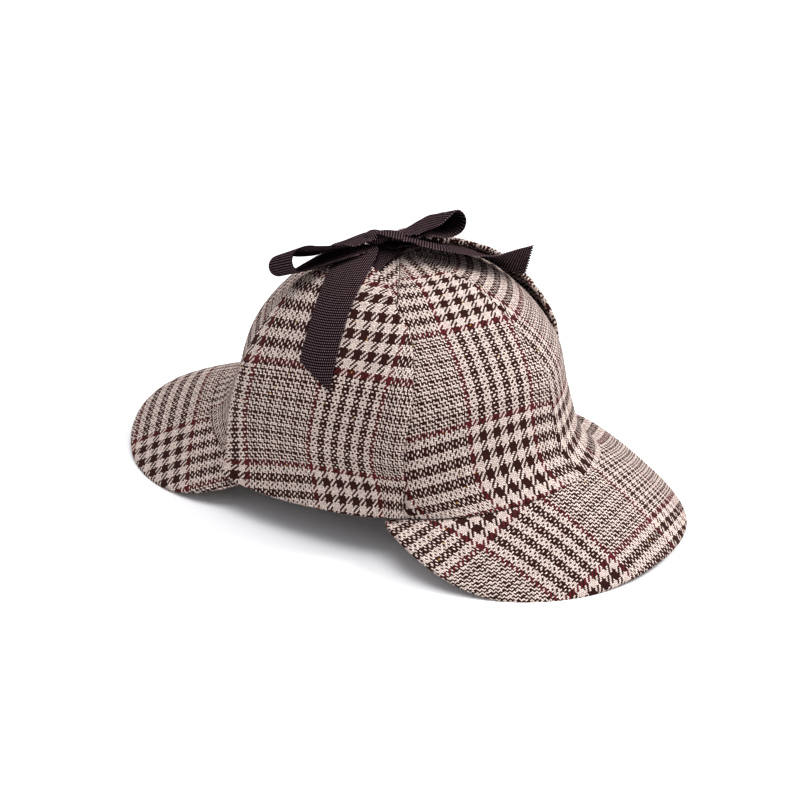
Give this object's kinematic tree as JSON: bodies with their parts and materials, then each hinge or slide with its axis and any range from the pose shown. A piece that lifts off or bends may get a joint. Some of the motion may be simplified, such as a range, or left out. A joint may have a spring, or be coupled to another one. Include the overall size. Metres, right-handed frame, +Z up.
{
  "type": "deerstalker hat",
  "caption": "Plaid tweed deerstalker hat with a front and a back peak, its ear flaps turned up and tied over the crown with a dark ribbon bow.",
  "frame": {"origin": "on the table under the middle of the crown", "axes": "+Z up; the front peak points to -Y and the back peak to +Y; the wearer's left is +X"},
  "size_m": [0.1644, 0.305, 0.1397],
  "materials": {
    "tweed": "matte woven wool",
    "ribbon": "ribbed ribbon with a soft sheen"
  },
  "bodies": {
    "root": {"crown_gore_front_left": "tweed", "crown_gore_side_left": "tweed", "crown_gore_back_left": "tweed", "crown_gore_back_right": "tweed", "crown_gore_side_right": "tweed", "crown_gore_front_right": "tweed", "front_peak": "tweed", "back_peak": "tweed", "ear_flap_right": "tweed", "ear_flap_left": "tweed", "bow_knot": "ribbon", "bow_loop_front": "ribbon", "bow_loop_back": "ribbon", "ribbon_tail_left": "ribbon", "ribbon_tail_right": "ribbon", "ribbon_root_right": "ribbon", "ribbon_root_left": "ribbon"}
  },
  "joints": []
}
